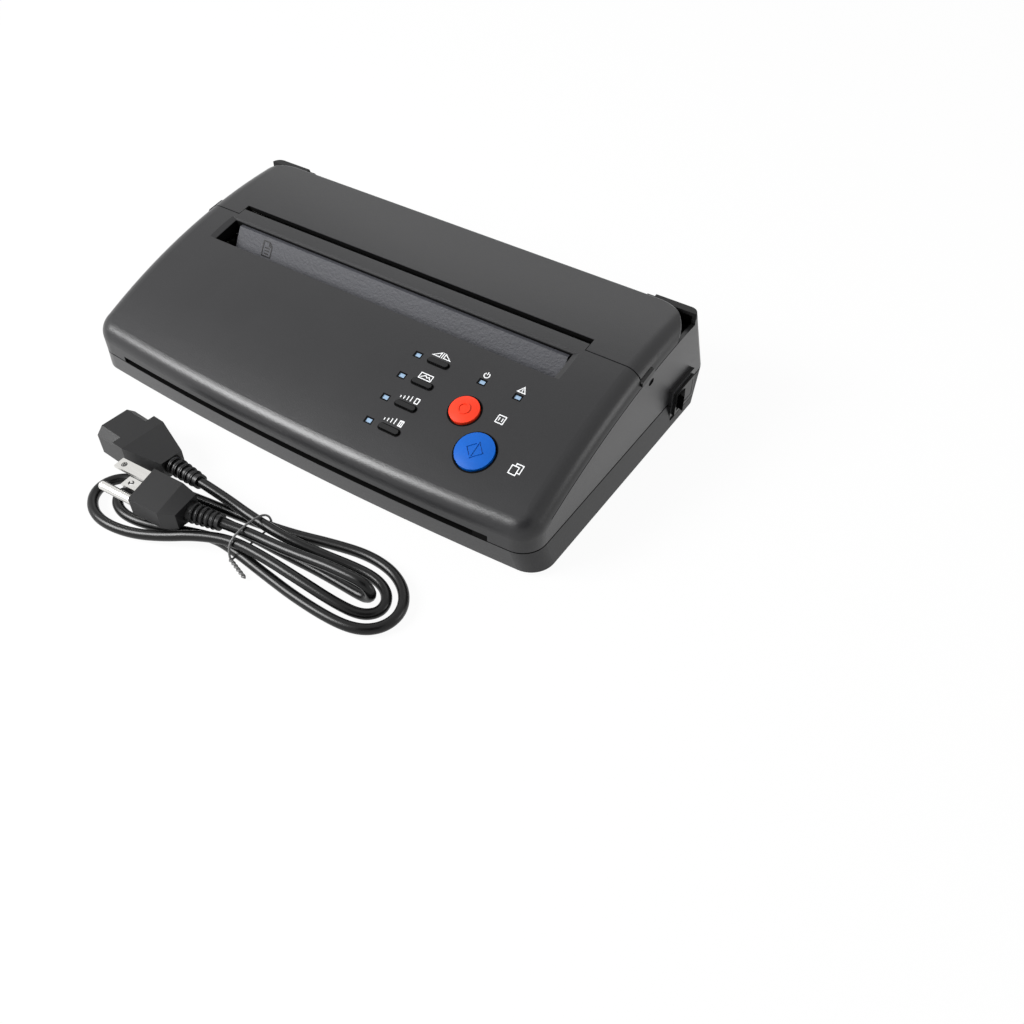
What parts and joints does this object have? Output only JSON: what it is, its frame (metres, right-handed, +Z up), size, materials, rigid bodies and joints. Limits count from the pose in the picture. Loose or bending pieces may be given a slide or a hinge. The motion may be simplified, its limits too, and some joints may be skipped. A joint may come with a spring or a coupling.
{
  "type": "thermal stencil copier",
  "caption": "Low black thermal stencil copier with a crowned top, a hinged rear cover, feed slots, press buttons and a tied mains lead.",
  "frame": {"origin": "on the floor under the middle of the case", "axes": "+X towards the right end, where the mains switch is, +Y towards the hinged rear, +Z up"},
  "size_m": [0.303, 0.2642, 0.0633],
  "materials": {
    "case_black": "fine texture",
    "trim_black": "satin",
    "key_grey": "satin",
    "stop_red": "satin",
    "copy_blue": "satin",
    "window": "clear pale blue",
    "steel": "bright",
    "heat_sink": "extruded",
    "nickel": "nickel plated",
    "bush": "acetal",
    "gear_white": "acetal",
    "brass": "machined",
    "rubber": "ground",
    "board": "solder mask",
    "ceramic": "glazed",
    "component": "moulded",
    "cable": "film",
    "glass": "clear",
    "cord": "satin",
    "tie": "coated wire"
  },
  "bodies": {
    "base": {"appliance_connector": "cord", "bottom_tray": "case_black", "case_screws": "steel", "control_panel": "case_black", "copy_well": "trim_black", "cord_tie": "tie", "document_guide": "trim_black", "flat_cable": "cable", "housing_frame": "case_black", "indicator_rims": "trim_black", "indicator_windows": "window", "inlet_pins": "nickel", "key_wells": "trim_black", "left_side_plate": "steel", "main_board": "board", "main_chips": "component", "mains_cord": "cord", "mains_plug": "cord", "panel_board": "board", "panel_switches": "component", "paper_chute": "trim_black", "platen_bushes": "bush", "platen_motor": "steel", "plug_pins": "nickel", "power_board": "board", "power_inlet": "trim_black", "power_parts": "component", "right_side_plate": "steel", "rocker_frame": "trim_black", "rubber_feet": "rubber", "scan_bushes": "bush", "scan_motor": "steel", "scanner_bar": "trim_black", "scanner_glass": "glass", "stop_well": "trim_black", "switch_tabs": "nickel"},
    "cover": {"rear_cover": "case_black", "hinge_pins": "steel", "print_head": "ceramic", "heat_sink": "heat_sink"},
    "scan_roller_body": {"scan_roller": "rubber", "scan_shaft": "steel", "scan_gear": "gear_white"},
    "scan_drive": {"scan_pinion": "brass", "scan_spindle": "steel"},
    "platen_body": {"platen_roller": "rubber", "platen_shaft": "steel", "platen_gear": "gear_white"},
    "print_drive": {"platen_pinion": "brass", "platen_spindle": "steel"},
    "key_1_body": {"key_1": "key_grey"},
    "key_2_body": {"key_2": "key_grey"},
    "key_3_body": {"key_3": "key_grey"},
    "key_4_body": {"key_4": "key_grey"},
    "stop_body": {"stop_button": "stop_red"},
    "copy_body": {"copy_button": "copy_blue"},
    "release_left_body": {"release_button_left": "trim_black"},
    "release_right_body": {"release_button_right": "trim_black"},
    "rocker_body": {"rocker": "trim_black"}
  },
  "joints": [
    {"name": "cover_hinge", "type": "hinge", "parent": "base", "child": "cover", "pos_m": [0, 0.072, 0.0584], "axis": [-1, 0, 0], "range_deg": [0, 60]},
    {"name": "scan_spin", "type": "hinge", "parent": "base", "child": "scan_roller_body", "pos_m": [0, -0.027, 0.0265], "axis": [1, 0, 0], "continuous": true},
    {"name": "scan_drive_spin", "type": "hinge", "parent": "base", "child": "scan_drive", "pos_m": [-0.125, -0.04505, 0.031], "axis": [1, 0, 0], "continuous": true},
    {"name": "platen_spin", "type": "hinge", "parent": "base", "child": "platen_body", "pos_m": [0, 0.031, 0.038], "axis": [1, 0, 0], "continuous": true},
    {"name": "print_drive_spin", "type": "hinge", "parent": "base", "child": "print_drive", "pos_m": [-0.125, 0.04545, 0.0236], "axis": [1, 0, 0], "continuous": true},
    {"name": "key_1_press", "type": "slide", "parent": "base", "child": "key_1_body", "axis": [0, 0.2536, -0.9673], "range_m": [0, 0.0005], "stiffness_N_per_m": 400, "springref_m": -0.0005},
    {"name": "key_2_press", "type": "slide", "parent": "base", "child": "key_2_body", "axis": [0, 0.2919, -0.9565], "range_m": [0, 0.0005], "stiffness_N_per_m": 400, "springref_m": -0.0005},
    {"name": "key_3_press", "type": "slide", "parent": "base", "child": "key_3_body", "axis": [0, 0.3301, -0.9439], "range_m": [0, 0.0005], "stiffness_N_per_m": 400, "springref_m": -0.0005},
    {"name": "key_4_press", "type": "slide", "parent": "base", "child": "key_4_body", "axis": [0, 0.3684, -0.9297], "range_m": [0, 0.0005], "stiffness_N_per_m": 400, "springref_m": -0.0005},
    {"name": "stop_press", "type": "slide", "parent": "base", "child": "stop_body", "axis": [0, 0.3022, -0.9532], "range_m": [0, 0.0008], "stiffness_N_per_m": 500, "springref_m": -0.0008},
    {"name": "copy_press", "type": "slide", "parent": "base", "child": "copy_body", "axis": [0, 0.3478, -0.9376], "range_m": [0, 0.0008], "stiffness_N_per_m": 500, "springref_m": -0.0008},
    {"name": "release_left_press", "type": "slide", "parent": "base", "child": "release_left_body", "axis": [1, 0, 0], "range_m": [0, 0.0012], "stiffness_N_per_m": 400, "springref_m": -0.0012},
    {"name": "release_right_press", "type": "slide", "parent": "base", "child": "release_right_body", "axis": [-1, 0, 0], "range_m": [0, 0.0012], "stiffness_N_per_m": 400, "springref_m": -0.0012},
    {"name": "rocker_flip", "type": "hinge", "parent": "base", "child": "rocker_body", "pos_m": [0.1481, 0.0603, 0.0159], "axis": [0, 0, -1], "range_deg": [0, 22]}
  ],
  "couplings": [
    {"joint": "scan_drive_spin", "follows": "scan_spin", "ratio": -4.1667},
    {"joint": "print_drive_spin", "follows": "platen_spin", "ratio": -4.6667}
  ]
}
